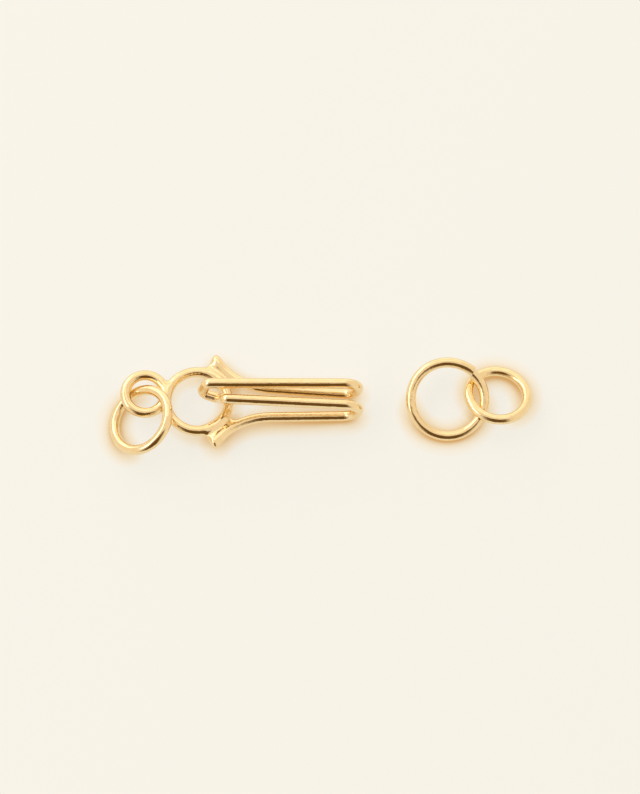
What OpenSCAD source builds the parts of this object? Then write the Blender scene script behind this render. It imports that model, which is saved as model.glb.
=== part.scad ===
// Hook and eye clasp of polished round gold wire, in millimetres.
// Both halves lie on a flat surface at z = 0: the hook half on the left, the eye half on the right.

/* [Wire] */
// Diameter of the round wire that every piece is made of
wire_d = 1.06; // [1:0.01:1.08]
// Diameter of the flattened-out ends of the lower arms
flare_d = 1.3; // [1.2:0.05:1.4]

/* [Hook] */
// Distance from the middle of the base ring to the middle of the upright bends
bend_x = 14.7; // [12:0.1:18]
// Height from the lower arms to the upper arms, middle to middle
rise = 3.6; // [3.2:0.1:4.2]
// Length of the straight piece between the two quarter turns of an upright bend
upright = 0.2; // [0.1:0.05:0.4]
// Distance between the two arms of each pair at the upright bends, middle to middle
arm_gap = 2.34; // [2.2:0.02:2.5]
// Distance between the two lower arms where they start to flare, middle to middle
spread_gap = 3.3; // [3.1:0.05:3.5]
// Distance between the two upper arms at the tip, middle to middle
tip_gap = 1.5; // [1.4:0.05:1.8]
// Height over the lower arms of the corner where the tip loop turns back
tip_drop_z = 1.3; // [1.25:0.05:1.4]
// Distance from the base ring's middle to that corner, along the hook
tip_x = 0.3; // [0.25:0.05:0.35]
// Distance from that corner to the hook's axis
tip_off_y = 0.45; // [0.4:0.05:0.5]
// Where the front upper arm turns down into the tip loop
tip_front_x = 2.75; // [2.7:0.05:2.8]
// Where the rear upper arm turns down into the tip loop
tip_rear_x = 0.9; // [0.85:0.05:0.95]
// Distance from the base ring's middle to the corner where a lower arm starts to flare
flare_corner_x = 4.3; // [4.2:0.05:4.4]
// Bend radius where a lower arm flares
flare_bend = 7.8; // [7.3:0.1:8]
// Distance from the base ring's middle to the end of a flare, along the hook
flare_end_x = 1.6; // [1.5:0.05:1.65]
// Distance from the hook's axis to the end of a flare
flare_end_y = 4.6; // [4.55:0.05:4.7]

/* [Rings] */
// Radius of the base ring to the middle of its wire
base_r = 3.2; // [3.15:0.05:3.25]
// Radius of the end ring to the middle of its wire
end_r = 2.05; // [2:0.05:2.1]
// Middle of the end ring, behind the middle of the base ring
end_x = -5.4; // [-5.45:0.05:-5.3]
// Middle of the end ring, away from the hook's axis
end_y = 0.65; // [0.5:0.05:0.8]
// Radius of the hook's jump ring to the middle of its wire
hook_jump_r = 3.27; // [3.25:0.01:3.29]
// Radius of the eye's jump ring to the middle of its wire
eye_jump_r = 3.05; // [3.03:0.01:3.07]
// Radius of the eye ring to the middle of its wire
eye_r = 3.81; // [3.79:0.01:3.83]

/* [Solder] */
// Thickness of the solder webs between flares and base ring, and between the two soldered rings
web_h = 0.92; // [0.8:0.02:0.96]
// Distance from a flare's corner to the place where its web starts
web_gap = 1.6; // [1.4:0.1:1.8]
// Length of a flare's end that stays free of its web
web_free = 0.25; // [0.15:0.05:0.35]
// How far the solder fills out towards the rings' outer sides
web_fill = 0.35; // [0.2:0.05:0.4]

/* [Resting place] */
// Place of the upright bends along the clasp
hook_x = 2.04; // [2.01:0.01:2.07]
// Place of the hook's axis across the clasp
hook_y = 0.45; // [0.43:0.01:0.47]
// Pitch of the hook, whose ring end rests on the jump ring beneath it
hook_pitch = 4.6; // [4.5:0.1:4.7]
// Middle of the hook's jump ring, along the clasp
hook_jump_x = -18.49; // [-18.51:0.01:-18.47]
// Middle of the hook's jump ring, across the clasp
hook_jump_y = -1.7; // [-1.72:0.01:-1.68]
// Direction of the raised side of the hook's jump ring
hook_jump_turn = -7; // [-9:1:-5]
// Slope of the hook's jump ring
hook_jump_tilt = 29.6; // [29.4:0.1:29.8]
// Middle of the eye ring, along the clasp
eye_x = 13.08; // [13.06:0.01:13.1]
// Middle of the eye ring, across the clasp
eye_y = 0.72; // [0.7:0.01:0.74]
// Direction of the raised side of the eye ring
eye_turn = 95; // [94:1:96]
// Slope of the eye ring
eye_tilt = 16.6; // [16.4:0.1:16.8]
// Middle of the eye's jump ring, along the clasp
eye_jump_x = 18.3; // [18.28:0.01:18.32]
// Middle of the eye's jump ring, across the clasp
eye_jump_y = 1.22; // [1.2:0.01:1.24]
// Direction of the raised side of the eye's jump ring
eye_jump_turn = 256; // [255:1:257]
// Slope of the eye's jump ring
eye_jump_tilt = 16.7; // [16.4:0.1:16.8]

/* [Hidden] */
$fn = 48;
wire_r = wire_d / 2;
// A straight run is a hair thinner than a bend and reaches a little way into it.
run_d = wire_d - 0.01;
run_lap = 0.04;
arm_y = arm_gap / 2;
spread_y = spread_gap / 2;
tip_y = tip_gap / 2;
bend_r = rise / 2;
quarter_r = bend_r - upright / 2;
gold = [0.90, 0.71, 0.38];

// The front upper arm sinks a little before the tip loop, which falls steeply to its front foot.
tip_sink = 0.3;
tip_foot = [2.2, -0.15, 1.5];
// Radii of the loop's four tight bends, from front to rear
tip_bends = [0.56, 0.6, 0.6, 0.56];
// Angles round the base ring between which a flare's web joins it
flare_web_angles = [36, 56, 76];
// Angles round the base ring and the end ring between which the solder joins the two
base_web_angles = [145, 215];
end_web_angles = [42, -48];

// One wire from the front flare through the hook to the rear flare: corner places and bend radii.
flare_corner = [flare_corner_x, spread_y, 0];
wire_run = [
    [[flare_end_x, -flare_end_y, 0], 0],
    [[flare_corner_x, -spread_y, 0], flare_bend],
    [[bend_x + bend_r, -arm_y, 0], quarter_r],
    [[bend_x + bend_r, -arm_y, rise], quarter_r],
    [[tip_front_x, -tip_y, rise - tip_sink], tip_bends[0]],
    [tip_foot, tip_bends[1]],
    [[tip_x, tip_off_y, tip_drop_z], tip_bends[2]],
    [[tip_rear_x, tip_y, rise], tip_bends[3]],
    [[bend_x + bend_r, arm_y, rise], quarter_r],
    [[bend_x + bend_r, arm_y, 0], quarter_r],
    [[flare_corner_x, spread_y, 0], flare_bend],
    [[flare_end_x, flare_end_y, 0], 0]
];

function unit(v) = v / norm(v);
function corner(i) = wire_run[i][0];
function leg(i) = unit(corner(i + 1) - corner(i));
function turn(i) = acos(leg(i - 1) * leg(i));
function trim(i) = wire_run[i][1] == 0 ? 0 : wire_run[i][1] * tan(turn(i) / 2);
function on_ring(r, angle) = r * [cos(angle), sin(angle)];
function across(u) = unit(cross(u, abs(u[2]) > 0.9 ? [1, 0, 0] : [0, 0, 1]));

// Moves a child so that its own axes lie along x, y and z and its origin at p.
module frame(x, y, z, p) {
    multmatrix([
        [x[0], y[0], z[0], p[0]],
        [x[1], y[1], z[1], p[1]],
        [x[2], y[2], z[2], p[2]],
        [0, 0, 0, 1]
    ])
        children();
}

// Round bar from p to q, with a diameter at each end.
module bar(p, q, d1, d2) {
    u = unit(q - p);
    x = across(u);
    frame(x, cross(u, x), u, p)
        cylinder(h = norm(q - p), d1 = d1, d2 = d2);
}

// Bend of the wire at one corner of its run.
module bend(i) {
    u = leg(i - 1);
    m = unit(leg(i) - (leg(i) * u) * u);
    r = wire_run[i][1];
    frame(-m, u, cross(-m, u), corner(i) - trim(i) * u + r * m)
        rotate_extrude(angle = turn(i))
            translate([r, 0])
                circle(d = wire_d);
}

// Ring of round wire round the Z axis.
module wire_ring(r) {
    rotate_extrude()
        translate([r, 0])
            circle(d = wire_d);
}

// Ring that leans: its side towards the given direction is raised, and its lowest point is at z = 0.
module resting_ring(x, y, r, direction, tilt) {
    translate([x, y, wire_r + r * sin(tilt)])
        rotate([0, 0, direction])
            rotate([0, -tilt, 0])
                wire_ring(r);
}

module hook_wire() {
    last = len(wire_run) - 1;
    for (i = [0 : last - 1]) {
        p = corner(i) + (trim(i) - (i == 0 ? 0 : run_lap)) * leg(i);
        q = corner(i + 1) - (trim(i + 1) - (i == last - 1 ? 0 : run_lap)) * leg(i);
        bar(p, q, i == 0 ? flare_d : run_d, i == last - 1 ? flare_d : run_d);
    }
    for (i = [1 : last - 1])
        bend(i);
}

// Solder web between the base ring and one flare; side is 1 at the rear and -1 at the front.
module flare_web(side) {
    flare_end = corner(len(wire_run) - 1);
    along = unit(flare_end - flare_corner);
    far = flare_end - web_free * along;
    near = flare_corner + web_gap * along;
    outline = [
        on_ring(base_r, flare_web_angles[2]),
        [far[0], far[1]],
        [near[0], near[1]],
        on_ring(base_r, flare_web_angles[0]),
        on_ring(base_r, flare_web_angles[1])
    ];
    mirror([0, side < 0 ? 1 : 0, 0])
        translate([0, 0, -web_h / 2])
            linear_extrude(web_h)
                polygon(outline);
}

// Solder between the base ring and the end ring.
module ring_web() {
    end_middle = [end_x, end_y];
    outline = [
        on_ring(base_r + web_fill, base_web_angles[0]),
        end_middle + on_ring(end_r + web_fill, end_web_angles[0]),
        end_middle + on_ring(end_r, 0),
        end_middle + on_ring(end_r + web_fill, end_web_angles[1]),
        on_ring(base_r + web_fill, base_web_angles[1])
    ];
    translate([0, 0, -web_h / 2])
        linear_extrude(web_h)
            polygon(outline);
}

// The two quarter turns at the bottom of the upright bends touch the surface beneath.
module hook() {
    lift = quarter_r + wire_r + upright / 2 * (cos(hook_pitch) + sin(hook_pitch));
    color(gold)
        translate([hook_x, hook_y, lift])
            rotate([0, hook_pitch, 0])
                translate([-bend_x, 0, -bend_r]) {
                    hook_wire();
                    wire_ring(base_r);
                    translate([end_x, end_y, 0])
                        wire_ring(end_r);
                    flare_web(1);
                    flare_web(-1);
                    ring_web();
                }
}

module hook_jump_ring() {
    color(gold)
        resting_ring(hook_jump_x, hook_jump_y, hook_jump_r, hook_jump_turn, hook_jump_tilt);
}

module eye_ring() {
    color(gold)
        resting_ring(eye_x, eye_y, eye_r, eye_turn, eye_tilt);
}

module eye_jump_ring() {
    color(gold)
        resting_ring(eye_jump_x, eye_jump_y, eye_jump_r, eye_jump_turn, eye_jump_tilt);
}

hook();
hook_jump_ring();
eye_ring();
eye_jump_ring();
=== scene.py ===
"""Looks of a hook and eye clasp of polished gold wire, lying in its two halves on a pale floor.

The CAD nodes keep their places. Each one is replaced here by a finer body of the same form: the rings get
their closing seams, and the hook gets rounded solder at its joints and its sheared, spread wire ends.
Lengths are in millimetres until a mesh is made, which is in metres.
"""

import math

import bpy
import numpy as np
from mathutils import Matrix, Vector


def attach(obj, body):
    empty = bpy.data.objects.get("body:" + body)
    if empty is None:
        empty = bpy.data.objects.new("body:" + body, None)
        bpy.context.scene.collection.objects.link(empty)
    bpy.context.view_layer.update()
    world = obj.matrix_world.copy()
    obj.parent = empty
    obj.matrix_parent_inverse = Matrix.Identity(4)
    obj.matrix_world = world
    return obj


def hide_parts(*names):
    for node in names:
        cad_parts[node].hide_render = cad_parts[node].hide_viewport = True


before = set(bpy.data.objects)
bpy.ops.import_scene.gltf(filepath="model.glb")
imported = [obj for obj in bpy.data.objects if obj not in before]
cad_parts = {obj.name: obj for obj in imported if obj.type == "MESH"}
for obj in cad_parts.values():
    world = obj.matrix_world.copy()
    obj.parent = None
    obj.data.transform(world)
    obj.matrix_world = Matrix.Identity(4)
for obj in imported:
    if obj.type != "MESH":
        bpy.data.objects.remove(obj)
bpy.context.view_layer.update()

MM = 0.001

# Wire and hook, as in the part's own source
WIRE_R = 0.53
BEND_X = 14.7
RISE = 3.6
UPRIGHT = 0.2
ARM_Y = 1.17
SPREAD_Y = 1.65
TIP_Y = 0.75
TIP = (0.3, 0.45, 1.3)
TIP_FOOT = (2.2, -0.15, 1.5)
TIP_FRONT_X = 2.75
TIP_REAR_X = 0.9
TIP_SINK = 0.3
TIP_BENDS = (0.56, 0.6, 0.6, 0.56)
FLARE_CORNER_X = 4.3
FLARE_BEND = 7.8
FLARE_END = (1.6, 4.6)
BASE_R = 3.2
END_R = 2.05
END_MIDDLE = (-5.4, 0.65)

# Where the hook rests: its upright bends touch the floor, and its ring end is raised
HOOK_PLACE = (2.04, 0.45)
HOOK_PITCH = 4.6

# Loose rings: middle, wire circle's radius, direction and slope of the raised side
HOOK_JUMP = {"middle": (-18.49, -1.7), "r": 3.27, "turn": -7, "tilt": 29.6}
EYE = {"middle": (13.08, 0.72), "r": 3.81, "turn": 95, "tilt": 16.6}
EYE_JUMP = {"middle": (18.3, 1.22), "r": 3.05, "turn": 256, "tilt": 16.7}

# The hook's surface is found on a grid of this step, worked out block by block, and its corners are then
# pulled onto it; FAR stands for any distance that doesn't matter
GRID_STEP = 0.072
GRID_BLOCK = 8
GRID_MARGIN = 0.4
PULLS = 3
GRADIENT_STEP = 0.004
FAR = 10.0

# Solder: how softly it runs into the wires, and its plate in the corner between a flare and the base ring
SOLDER_BLEND = 0.5
PLATE_BLEND = 0.42
PLATE_R = 0.37
PLATE_ANGLES = (74, 34)
PLATE_FREE = 0.35
PLATE_START = 0.9
# Wire ends: how far they spread, and over which length
FLARE_EXTRA = 0.16
FLARE_LENGTH = 2.2
# Shears of the front and the rear wire end: slant, rounding, place beyond the end, and how far they reach
SHEAR_SLANTS = (18, 34)
SHEAR_ROUNDS = (0.35, 0.9)
SHEAR_MOVES = (0.05, 0.28)
SHEAR_REACH = 2


def unit(v):
    v = np.asarray(v, float)
    return v / np.linalg.norm(v)


def path_corners():
    """Corners of the hook's one wire and the bend radius at each, from the front flare to the rear one."""
    bend_r = RISE / 2
    far_x = BEND_X + bend_r
    quarter_r = bend_r - UPRIGHT / 2
    front_loop, foot_loop, tip_loop, rear_loop = TIP_BENDS
    end_x, end_y = FLARE_END
    return [
        ((end_x, -end_y, 0), 0),
        ((FLARE_CORNER_X, -SPREAD_Y, 0), FLARE_BEND),
        ((far_x, -ARM_Y, 0), quarter_r),
        ((far_x, -ARM_Y, RISE), quarter_r),
        ((TIP_FRONT_X, -TIP_Y, RISE - TIP_SINK), front_loop),
        (TIP_FOOT, foot_loop),
        (TIP, tip_loop),
        ((TIP_REAR_X, TIP_Y, RISE), rear_loop),
        ((far_x, ARM_Y, RISE), quarter_r),
        ((far_x, ARM_Y, 0), quarter_r),
        ((FLARE_CORNER_X, SPREAD_Y, 0), FLARE_BEND),
        ((end_x, end_y, 0), 0),
    ]


def path_pieces():
    """Straight runs and arcs of the wire, each with the length before it and a side that turns with it."""
    corners = [np.array(p, float) for p, _ in path_corners()]
    radii = [r for _, r in path_corners()]
    legs = [unit(b - a) for a, b in zip(corners, corners[1:])]
    side = unit(np.cross(legs[0], (0, 0, 1)))
    pieces = []
    run = 0.0
    start = corners[0]
    for i, leg in enumerate(legs):
        last = i == len(legs) - 1
        turn = 0.0 if last else math.acos(np.clip(leg @ legs[i + 1], -1, 1))
        cut = 0.0 if last else radii[i + 1] * math.tan(turn / 2)
        end = corners[i + 1] - cut * leg
        length = np.linalg.norm(end - start)
        pieces.append({"start": start, "ahead": leg, "length": length, "run": run, "side": side})
        run += length
        if last:
            break
        inward = unit(legs[i + 1] - (legs[i + 1] @ leg) * leg)
        r = radii[i + 1]
        pieces.append({"centre": end + r * inward, "out": -inward, "ahead": leg, "r": r, "turn": turn,
                       "length": r * turn, "run": run, "side": side})
        run += r * turn
        axis = np.cross(-inward, leg)
        side = spin(side, axis, turn)
        start = corners[i + 1] + cut * legs[i + 1]
    return pieces, run


def spin(v, axis, angle):
    """v turned by angle round axis; angle may be an array, which gives one vector for each entry."""
    c, s = np.cos(angle)[..., None], np.sin(angle)[..., None]
    return v * c + np.cross(axis, v) * s + axis * (axis @ v) * (1 - c)


def nearest_on_piece(piece, p):
    """Nearest point of a piece's middle line to each point of p, and its distance along the piece."""
    if "r" not in piece:
        along = np.clip((p - piece["start"]) @ piece["ahead"], 0, piece["length"])
        return piece["start"] + along[..., None] * piece["ahead"], along
    q = p - piece["centre"]
    half = piece["turn"] / 2
    angle = np.arctan2(q @ piece["ahead"], q @ piece["out"]) - half
    angle = np.clip((angle + math.pi) % (2 * math.pi) - math.pi, -half, half) + half
    spoke = np.cos(angle)[..., None] * piece["out"] + np.sin(angle)[..., None] * piece["ahead"]
    return piece["centre"] + piece["r"] * spoke, angle * piece["r"]


def smooth(t):
    t = np.clip(t, 0, 1)
    return t * t * (3 - 2 * t)


def wire_radius(run, total):
    """Radius of the wire, which spreads towards both of its ends."""
    to_end = np.minimum(run, total - run)
    return WIRE_R + FLARE_EXTRA * smooth(1 - to_end / FLARE_LENGTH)


def wire_distance(p, pieces, total):
    """Distance from the wire's surface to each point of p."""
    best = np.full(p.shape[:-1], FAR)
    for piece in pieces:
        near, along = nearest_on_piece(piece, p)
        d = np.linalg.norm(p - near, axis=-1) - wire_radius(piece["run"] + along, total)
        best = np.minimum(best, d)
    return best


def ring_distance(p, middle, r):
    x, y, z = p[..., 0] - middle[0], p[..., 1] - middle[1], p[..., 2]
    return np.hypot(np.hypot(x, y) - r, z) - WIRE_R


def blend(a, b, width):
    """Smooth union of two distances: solder fills the groove between them."""
    h = np.clip(0.5 + 0.5 * (b - a) / width, 0, 1)
    return b + (a - b) * h - width * h * (1 - h)


def plate_distance(p, outline):
    """Distance from a flat plate with rounded edges; outline is its convex middle, counted anticlockwise."""
    flat = p[..., :2]
    inside = np.ones(flat.shape[:-1], bool)
    best = np.full(flat.shape[:-1], FAR)
    for a, b in zip(outline, outline[1:] + outline[:1]):
        a, b = np.array(a), np.array(b)
        edge = b - a
        off = flat - a
        inside &= edge[0] * off[..., 1] - edge[1] * off[..., 0] >= 0
        along = np.clip(off @ edge / (edge @ edge), 0, 1)
        best = np.minimum(best, np.linalg.norm(off - along[..., None] * edge, axis=-1))
    return np.hypot(np.where(inside, 0, best), p[..., 2]) - PLATE_R


def on_ring(middle, r, degrees):
    angle = math.radians(degrees)
    return (middle[0] + r * math.cos(angle), middle[1] + r * math.sin(angle))


def solder_plates():
    """Outlines of the solder between each flare and the base ring."""
    corner, end = np.array((FLARE_CORNER_X, SPREAD_Y)), np.array(FLARE_END)
    along = unit(end - corner)
    upper, lower = PLATE_ANGLES
    rear = [on_ring((0, 0), BASE_R, lower), tuple(corner + PLATE_START * along),
            tuple(end - PLATE_FREE * along), on_ring((0, 0), BASE_R, upper)]
    front = [(x, -y) for x, y in reversed(rear)]
    return rear, front


def flare_cuts():
    """Point, outward direction and rounding of the plane in which each wire end was sheared off."""
    end_x, end_y = FLARE_END
    along = unit((end_x - FLARE_CORNER_X, end_y - SPREAD_Y))
    cuts = []
    for side, slant, move, rounding in zip((-1, 1), np.radians(SHEAR_SLANTS), SHEAR_MOVES, SHEAR_ROUNDS):
        out_x = along[0] * math.cos(slant) - along[1] * math.sin(slant)
        out_y = along[0] * math.sin(slant) + along[1] * math.cos(slant)
        point = (end_x + move * along[0], side * (end_y + move * along[1]), 0)
        cuts.append((np.array(point), np.array((out_x, side * out_y, 0)), rounding))
    return cuts


def hook_distance(p, pieces, total):
    """Distance from the whole soldered hook to each point of p, in the hook's own frame."""
    d = wire_distance(p, pieces, total)
    for point, out, rounding in flare_cuts():
        off = p - point
        close = np.linalg.norm(off, axis=-1) < SHEAR_REACH
        d = np.where(close, -blend(-d, -off @ out, rounding), d)
    for plate in solder_plates():
        d = blend(d, plate_distance(p, plate), PLATE_BLEND)
    d = blend(d, ring_distance(p, (0, 0), BASE_R), PLATE_BLEND)
    return blend(d, ring_distance(p, END_MIDDLE, END_R), SOLDER_BLEND)


def surface_net(field, low, step):
    """Quads over the zero level of a field on a grid, one corner in each cell that the surface crosses."""
    inside = field < 0
    shape = tuple(n - 1 for n in field.shape)
    corner_steps = [(i, j, k) for i in (0, 1) for j in (0, 1) for k in (0, 1)]
    count = np.zeros(shape, np.int8)
    for i, j, k in corner_steps:
        count += inside[i:i + shape[0], j:j + shape[1], k:k + shape[2]]
    cells = np.argwhere((count > 0) & (count < 8))
    number = np.full(shape, -1, np.int32)
    number[tuple(cells.T)] = np.arange(len(cells))
    values = np.stack([field[tuple((cells + s).T)] for s in corner_steps], axis=1)
    total = np.zeros((len(cells), 3))
    crossings = np.zeros(len(cells))
    for m, a in enumerate(corner_steps):
        for n, b in enumerate(corner_steps):
            if n <= m or sum(abs(x - y) for x, y in zip(a, b)) != 1:
                continue
            va, vb = values[:, m], values[:, n]
            crossed = (va < 0) != (vb < 0)
            t = np.where(crossed, va / np.where(crossed, va - vb, 1), 0)
            place = np.array(a) + t[:, None] * (np.array(b) - np.array(a))
            total += place * crossed[:, None]
            crossings += crossed
    corners = low + (cells + total / crossings[:, None]) * step
    quads = []
    for axis in range(3):
        one, two = (axis + 1) % 3, (axis + 2) % 3
        here = np.take(inside, range(shape[axis]), axis)
        there = np.take(inside, range(1, shape[axis] + 1), axis)
        edges = np.argwhere(here != there)
        around = []
        for back_one, back_two in ((1, 1), (0, 1), (0, 0), (1, 0)):
            cell = edges.copy()
            cell[:, one] -= back_one
            cell[:, two] -= back_two
            around.append(number[tuple(cell.T)])
        quad = np.stack(around, axis=1)
        outward = here[tuple(edges.T)]
        quads.append(np.where(outward[:, None], quad, quad[:, ::-1]))
    return corners, np.concatenate(quads)


def grid_field(distance, low, high, step):
    """Distances on a grid, worked out only near the surface: coarse blocks far from it are skipped."""
    block = GRID_BLOCK
    counts = np.ceil((high - low) / step).astype(int) + 1
    blocks = (counts + block - 1) // block
    middles = [start + (np.arange(n) + 0.5) * block * step for start, n in zip(low, blocks)]
    centres = np.stack(np.meshgrid(*middles, indexing="ij"), axis=-1)
    reach = block * step * math.sqrt(3) / 2 + SOLDER_BLEND / 2 + step
    coarse = distance(centres)
    field = np.where(coarse > 0, FAR, -FAR)
    field = np.repeat(np.repeat(np.repeat(field, block, 0), block, 1), block, 2)
    offsets = np.stack(np.meshgrid(*[np.arange(block)] * 3, indexing="ij"), axis=-1)
    for cell in np.argwhere(np.abs(coarse) < reach):
        first = cell * block
        d = distance(low + (first + offsets) * step)
        field[tuple(slice(n, n + block) for n in first)] = d
    return field


def gradient(distance, p):
    h = GRADIENT_STEP
    g = np.stack([distance(p + h * e) - distance(p - h * e) for e in np.eye(3)], axis=-1)
    return g / np.maximum(np.linalg.norm(g, axis=-1, keepdims=True), 1e-9)


# Distance along the wire between the hook's wire and its rings, so that their marks differ
PLACE_STEP = 30


def hook_wire_place(p, pieces, total):
    """For each point: distance along its wire, and its two offsets from the wire's middle line."""
    best = np.full(len(p), FAR)
    place = np.zeros((len(p), 3))
    for piece in pieces:
        near, along = nearest_on_piece(piece, p)
        off = p - near
        d = np.linalg.norm(off, axis=-1) - WIRE_R
        if "r" in piece:
            axis = np.cross(piece["out"], piece["ahead"])
            side = spin(piece["side"], axis, along / piece["r"])
            u = spin(piece["ahead"], axis, along / piece["r"])
        else:
            side = np.broadcast_to(piece["side"], p.shape)
            u = np.broadcast_to(piece["ahead"], p.shape)
        up = np.cross(u, side)
        here = np.stack([piece["run"] + along, (off * side).sum(-1), (off * up).sum(-1)], axis=-1)
        place = np.where((d < best)[:, None], here, place)
        best = np.minimum(best, d)
    for number, (middle, r) in enumerate((((0, 0), BASE_R), (END_MIDDLE, END_R))):
        x, y = p[:, 0] - middle[0], p[:, 1] - middle[1]
        d = ring_distance(p, middle, r)
        start = total + PLACE_STEP * (number + 1)
        here = np.stack([start + r * np.arctan2(y, x), np.hypot(x, y) - r, p[:, 2]], axis=-1)
        place = np.where((d < best)[:, None], here, place)
        best = np.minimum(best, d)
    return place


def to_row(p):
    """From the hook's own frame to the row's frame: pitched round the upright bends, then put in place."""
    pitch = math.radians(HOOK_PITCH)
    bend_r = RISE / 2
    q = p - np.array((BEND_X, 0, bend_r))
    x = q[:, 0] * math.cos(pitch) + q[:, 2] * math.sin(pitch)
    z = q[:, 2] * math.cos(pitch) - q[:, 0] * math.sin(pitch)
    lift = bend_r + WIRE_R + UPRIGHT / 2 * (math.cos(pitch) + math.sin(pitch) - 1)
    return np.stack([x + HOOK_PLACE[0], q[:, 1] + HOOK_PLACE[1], z + lift], axis=-1)


def turned_to_row(v):
    """Directions v, turned as the hook is but not moved."""
    return to_row(v + np.array((BEND_X, 0, RISE / 2))) - to_row(np.array([(BEND_X, 0, RISE / 2)]))


def mesh_object(name, points, faces, normals, wire_place):
    """A smooth mesh with the given normals, which carries each point's place on its wire."""
    mesh = bpy.data.meshes.new(name)
    mesh.from_pydata((points * MM).tolist(), [], faces)
    mesh.polygons.foreach_set("use_smooth", np.ones(len(mesh.polygons), bool))
    store = mesh.attributes.new("wire_place", "FLOAT_VECTOR", "POINT")
    store.data.foreach_set("vector", np.ascontiguousarray(wire_place, np.float32).ravel())
    mesh.update()
    mesh.normals_split_custom_set_from_vertices(normals.tolist())
    obj = bpy.data.objects.new(name, mesh)
    bpy.context.scene.collection.objects.link(obj)
    return obj


def make_hook():
    pieces, total = path_pieces()

    def distance(p):
        return hook_distance(p, pieces, total)

    end_y = FLARE_END[1] + WIRE_R
    low = np.array((END_MIDDLE[0] - END_R - WIRE_R, -end_y, -WIRE_R)) - GRID_MARGIN
    high = np.array((BEND_X + RISE / 2 + WIRE_R, end_y, RISE + WIRE_R)) + GRID_MARGIN
    points, quads = surface_net(grid_field(distance, low, high, GRID_STEP), low, GRID_STEP)
    for _ in range(PULLS):
        points = points - distance(points)[:, None] * gradient(distance, points)
    normals = gradient(distance, points)
    place = hook_wire_place(points, pieces, total)
    return mesh_object("hook_wire", to_row(points), quads.tolist(), turned_to_row(normals), place)


# Loose rings: stations along the wire and sides round it, the bevel of the cut ends, how much of it lies in
# the outer of its two steps, and the angle from the seam over which the ends are bent apart
RING_STATIONS = 288
RING_SIDES = 48
SEAM_BEVEL = 0.05
BEVEL_STEP = 1 / 3
BEVEL_STEP_DEPTH = 0.3
SEAM_REACH = 0.5


def ring_faces(rows):
    """Quads along the wire, and its two cut faces, which have points of their own so that they look flat."""
    faces = []
    for i in range(rows - 1):
        here = i * RING_SIDES
        there = here + RING_SIDES
        for j in range(RING_SIDES):
            k = (j + 1) % RING_SIDES
            faces.append((here + j, there + j, there + k, here + k))
    first_cut = rows * RING_SIDES
    last_cut = first_cut + RING_SIDES
    faces.append(tuple(range(first_cut, last_cut)))
    faces.append(tuple(reversed(range(last_cut, last_cut + RING_SIDES))))
    return faces


def make_ring(name, ring, seam_at, seam_gap, seam_shift=0.0, seam_slant=0.0):
    """A ring of round wire, closed but for a narrow gap between its two cut ends."""
    r = ring["r"]
    half_gap = seam_gap / 2 / r
    bevel = SEAM_BEVEL / r
    first = math.radians(seam_at) + half_gap
    last = math.radians(seam_at) + 2 * math.pi - half_gap
    between = np.linspace(first + bevel, last - bevel, RING_STATIONS)
    step = bevel * BEVEL_STEP
    angles = np.concatenate([[first, first + step], between, [last - step, last]])
    wire = np.full(len(angles), WIRE_R)
    wire[[0, -1]] = WIRE_R - SEAM_BEVEL
    wire[[1, -2]] = WIRE_R - SEAM_BEVEL * BEVEL_STEP_DEPTH
    round_wire = np.linspace(0, 2 * math.pi, RING_SIDES, endpoint=False)
    a, b = np.meshgrid(angles, round_wire, indexing="ij")
    w = wire[:, None]
    near_first = smooth(1 - (a - first) / SEAM_REACH)
    near_last = smooth(1 - (last - a) / SEAM_REACH)
    radius = r + w * np.cos(b) + seam_shift * (near_first - near_last) / 2
    a = a + seam_slant * w * np.cos(b) / r * (near_first + near_last)
    local = np.stack([radius * np.cos(a), radius * np.sin(a), w * np.sin(b)], axis=-1)
    normal = np.stack([np.cos(b) * np.cos(a), np.cos(b) * np.sin(a), np.sin(b)], axis=-1)
    place = np.stack([a * r, w * np.cos(b), w * np.sin(b)], axis=-1)
    slant = math.atan(seam_slant)
    cut_faces = []
    for side, row in ((-1, 0), (1, -1)):
        along = angles[row] + math.pi / 2 - slant
        flat = side * np.array((math.cos(along), math.sin(along), 0))
        cut_faces.append((local[row], np.broadcast_to(flat, local[row].shape), place[row]))
    local, normal, place = (np.concatenate([whole.reshape(-1, 3)] + [cut[n] for cut in cut_faces])
                            for n, whole in enumerate((local, normal, place)))

    tilt = math.radians(ring["tilt"])
    turn = math.radians(ring["turn"])
    lean = np.array(Matrix.Rotation(turn, 3, "Z") @ Matrix.Rotation(-tilt, 3, "Y"))
    middle = np.array((*ring["middle"], WIRE_R + r * math.sin(tilt)))
    return mesh_object(name, local @ lean.T + middle, ring_faces(len(angles)), normal @ lean.T, place)


# Range that noise seldom leaves, and the gold's colours along it, from its stained to its clean places
NOISE_RANGE = (0.3, 0.7)
GOLD_TONES = (
    (0.3, (0.9, 0.69, 0.38)),
    (0.7, (0.94, 0.76, 0.46)),
)


def set_ramp(ramp, tones):
    """Gives a colour ramp its stops; tones are pairs of place and colour, in rising order."""
    for stop, (at, colour) in zip(ramp.elements, (tones[0], tones[-1])):
        stop.position = at
        stop.color = (*colour, 1)
    for at, colour in tones[1:-1]:
        ramp.elements.new(at).color = (*colour, 1)


def mapped(tree, value, from_range, to_range, interpolation):
    """Result of a node that maps one range of value onto another."""
    node = tree.nodes.new("ShaderNodeMapRange")
    node.interpolation_type = interpolation
    node.inputs["From Min"].default_value, node.inputs["From Max"].default_value = from_range
    node.inputs["To Min"].default_value, node.inputs["To Max"].default_value = to_range
    tree.links.new(value, node.inputs["Value"])
    return node.outputs["Result"]


def noise(tree, vector, scale, detail):
    node = tree.nodes.new("ShaderNodeTexNoise")
    node.inputs["Scale"].default_value = scale
    node.inputs["Detail"].default_value = detail
    tree.links.new(vector, node.inputs["Vector"])
    return node.outputs["Fac"]


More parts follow.
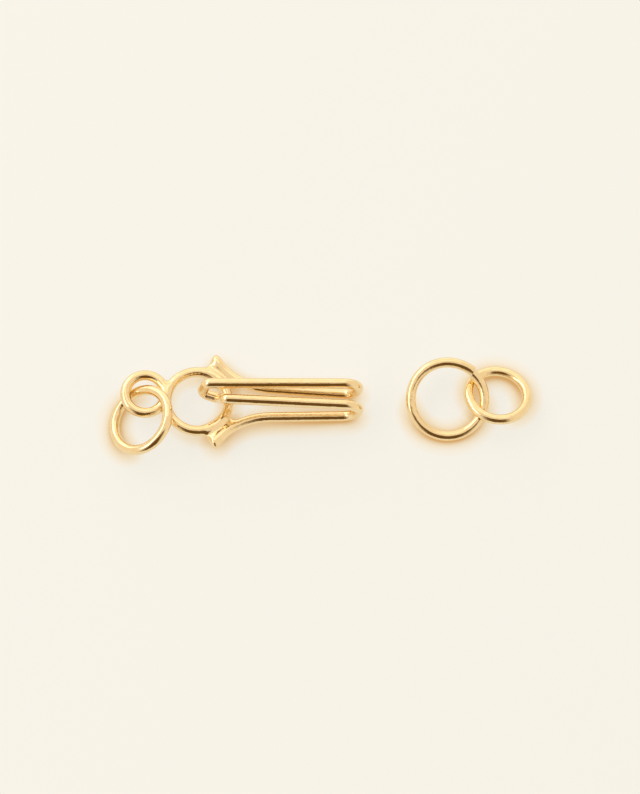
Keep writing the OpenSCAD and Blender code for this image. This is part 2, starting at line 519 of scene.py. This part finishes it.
def bump(tree, height, strength, distance):
    """A bump node, whose depth is in metres."""
    node = tree.nodes.new("ShaderNodeBump")
    node.inputs["Strength"].default_value = strength
    node.inputs["Distance"].default_value = distance
    tree.links.new(height, node.inputs["Height"])
    return node


# Lines of the drawing die: how much they are stretched along the wire and packed round it
DIE_LINES = (0.25, 9.0, 9.0)
# Roughness from the cleanest to the most worn line
ROUGHNESS = (0.06, 0.13)


def gold_material():
    """Polished gold plate: lines of the drawing die along the wire, faint dents and small stains."""
    material = bpy.data.materials.new("polished_gold")
    material.use_nodes = True
    tree = material.node_tree
    nodes, links = tree.nodes, tree.links
    metal = nodes["Principled BSDF"]
    metal.inputs["Metallic"].default_value = 1.0

    place = nodes.new("ShaderNodeAttribute")
    place.attribute_name = "wire_place"
    stretch = nodes.new("ShaderNodeMapping")
    stretch.inputs["Scale"].default_value = DIE_LINES
    links.new(place.outputs["Vector"], stretch.inputs["Vector"])
    lines = noise(tree, stretch.outputs["Vector"], scale=1.0, detail=3.0)
    spots = noise(tree, place.outputs["Vector"], scale=1.6, detail=4.0)

    tone = nodes.new("ShaderNodeValToRGB")
    set_ramp(tone.color_ramp, GOLD_TONES)
    links.new(spots, tone.inputs["Fac"])
    links.new(tone.outputs["Color"], metal.inputs["Base Color"])
    gloss = mapped(tree, lines, NOISE_RANGE, ROUGHNESS, "LINEAR")
    links.new(gloss, metal.inputs["Roughness"])

    drawn = bump(tree, lines, strength=0.25, distance=0.00002)
    dents = bump(tree, spots, strength=0.6, distance=0.00004)
    links.new(drawn.outputs["Normal"], dents.inputs["Normal"])
    links.new(dents.outputs["Normal"], metal.inputs["Normal"])
    return material


# How near the clasp the floor gets painted shade and a painted warm glow that stands in for the gold's
# reflected light, how much of the floor's light is its own, and the floor's colours, painted darker and
# warmer from right beneath the clasp out to the open floor
PAINTED_SHADE_REACH = 0.0017
FLOOR_OWN_LIGHT = 3.0
FLOOR_PAINTED_SHADE_TONES = (
    (0.48, (0.188, 0.112, 0.042)),
    (0.73, (0.228, 0.191, 0.132)),
    (0.9, (0.2375, 0.2215, 0.191)),
    (1.0, (0.2345, 0.23, 0.213)),
)


def floor_material():
    """Pale paper, lit through from below, whose colour and glow get painted shade and a painted warm glow,
    standing in for the gold's reflected light, near the clasp.
    """
    material = bpy.data.materials.new("pale_floor")
    material.use_nodes = True
    nodes, links = material.node_tree.nodes, material.node_tree.links
    paper = nodes["Principled BSDF"]
    paper.inputs["Roughness"].default_value = 0.9
    paper.inputs["Specular IOR Level"].default_value = 0.1
    paper.inputs["Emission Strength"].default_value = FLOOR_OWN_LIGHT
    # Painted shade and painted reflected gold light: the floor's colour and its own glow turn darker and
    # warmer where the clasp is near
    painted_shade_mask = nodes.new("ShaderNodeAmbientOcclusion")
    painted_shade_mask.inputs["Distance"].default_value = PAINTED_SHADE_REACH
    tone = nodes.new("ShaderNodeValToRGB")
    set_ramp(tone.color_ramp, FLOOR_PAINTED_SHADE_TONES)
    links.new(painted_shade_mask.outputs["AO"], tone.inputs["Fac"])
    links.new(tone.outputs["Color"], paper.inputs["Base Color"])
    links.new(tone.outputs["Color"], paper.inputs["Emission Color"])
    return material


FLOOR_HALF = 0.6


def make_floor():
    mesh = bpy.data.meshes.new("floor")
    s = FLOOR_HALF
    mesh.from_pydata([(-s, -s, 0), (s, -s, 0), (s, s, 0), (-s, s, 0)], [], [(0, 1, 2, 3)])
    floor = bpy.data.objects.new("floor", mesh)
    bpy.context.scene.collection.objects.link(floor)
    mesh.materials.append(floor_material())


# The studio's colour and that of its dark part, low in front of the clasp
STUDIO = (1.03, 0.92, 0.77)
DARK_PART = (0.16, 0.085, 0.025)
# Where the dark part starts and is full: how far to the front a direction points, and how far to either side
DARK_FRONT = (-0.2, -0.42)
DARK_SIDES = (0.75, 0.3)
# Where the studio gets brighter towards the back, and its strength there
REAR = (0.6, 0.97)
REAR_STRENGTH = (0.93, 1.35)


def make_world():
    """A cream studio for the gold to mirror: dark low in front of the clasp, brightest low behind it."""
    world = bpy.data.worlds.new("studio")
    bpy.context.scene.world = world
    world.use_nodes = True
    tree = world.node_tree
    nodes, links = tree.nodes, tree.links
    back = nodes["Background"]
    direction = nodes.new("ShaderNodeTexCoord")
    parts = nodes.new("ShaderNodeSeparateXYZ")
    links.new(direction.outputs["Generated"], parts.inputs["Vector"])
    off_side = nodes.new("ShaderNodeMath")
    off_side.operation = "ABSOLUTE"
    links.new(parts.outputs["X"], off_side.inputs[0])
    dark = nodes.new("ShaderNodeMath")
    dark.operation = "MULTIPLY"
    links.new(mapped(tree, parts.outputs["Y"], DARK_FRONT, (0, 1), "SMOOTHSTEP"), dark.inputs[0])
    links.new(mapped(tree, off_side.outputs["Value"], DARK_SIDES, (0, 1), "SMOOTHSTEP"), dark.inputs[1])
    tone = nodes.new("ShaderNodeMix")
    tone.data_type = "RGBA"
    tone.inputs["A"].default_value = (*STUDIO, 1)
    tone.inputs["B"].default_value = (*DARK_PART, 1)
    links.new(dark.outputs["Value"], tone.inputs["Factor"])
    links.new(tone.outputs["Result"], back.inputs["Color"])
    strength = mapped(tree, parts.outputs["Y"], REAR, REAR_STRENGTH, "SMOOTHSTEP")
    links.new(strength, back.inputs["Strength"])


def area_light(name, place, width, height, power, colour):
    """A rectangular light aimed at the clasp; lengths in metres, power in watts."""
    data = bpy.data.lights.new(name, "AREA")
    data.shape = "RECTANGLE"
    data.size = width
    data.size_y = height
    data.energy = power
    data.color = colour
    light = bpy.data.objects.new(name, data)
    light.location = place
    point_at(light, (0, 0, 0))
    bpy.context.scene.collection.objects.link(light)


def point_at(obj, aim):
    obj.rotation_euler = (Vector(aim) - Vector(obj.location)).to_track_quat("-Z", "Y").to_euler()


def make_lights():
    area_light("strip", (-0.30, 0.09, 0.31), width=0.6, height=0.14, power=0.5, colour=(1.0, 0.98, 0.96))
    area_light("window", (-0.28, 0.33, 0.17), width=0.28, height=0.12, power=0.09, colour=(1.0, 0.98, 0.96))
    area_light("back", (0, 0.26, 0.43), width=0.36, height=0.22, power=0.1, colour=(1.0, 0.98, 0.95))


# Camera: the photograph's angle and framing, whose picture is 640 by 794 pixels
PICTURE_HEIGHT = 794
PIXELS_PER_MM = 9.6
CAMERA_ELEVATION = 71
CAMERA_DISTANCE = 230
CAMERA_TARGET = (-0.1, 1.52, 0)
SENSOR = 36


def make_camera():
    data = bpy.data.cameras.new("camera")
    data.sensor_fit = "VERTICAL"
    data.sensor_height = SENSOR
    data.lens = SENSOR * PIXELS_PER_MM * CAMERA_DISTANCE / PICTURE_HEIGHT
    data.clip_start = 0.01
    data.clip_end = 10
    camera = bpy.data.objects.new("camera", data)
    elevation = math.radians(CAMERA_ELEVATION)
    x, y, z = CAMERA_TARGET
    camera.location = (x * MM, (y - CAMERA_DISTANCE * math.cos(elevation)) * MM,
                       (z + CAMERA_DISTANCE * math.sin(elevation)) * MM)
    point_at(camera, (x * MM, y * MM, z * MM))
    bpy.context.scene.collection.objects.link(camera)
    bpy.context.scene.camera = camera


def dress(piece, node, material):
    """piece stands for a CAD node, in the record's gold."""
    piece.data.materials.append(material)
    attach(piece, "root")
    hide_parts(node)


bpy.context.scene.view_settings.view_transform = "Standard"
make_camera()
make_floor()
make_world()
make_lights()

gold = gold_material()
dress(make_hook(), "hook", gold)
hook_jump_ring = make_ring("hook_jump_ring_wire", HOOK_JUMP, seam_at=150, seam_gap=0.05)
dress(hook_jump_ring, "hook_jump_ring", gold)
eye_ring = make_ring("eye_ring_wire", EYE, seam_at=-49, seam_gap=0.06, seam_shift=0.16, seam_slant=0.2)
dress(eye_ring, "eye_ring", gold)
eye_jump_ring = make_ring("eye_jump_ring_wire", EYE_JUMP, seam_at=234, seam_gap=0.05)
dress(eye_jump_ring, "eye_jump_ring", gold)
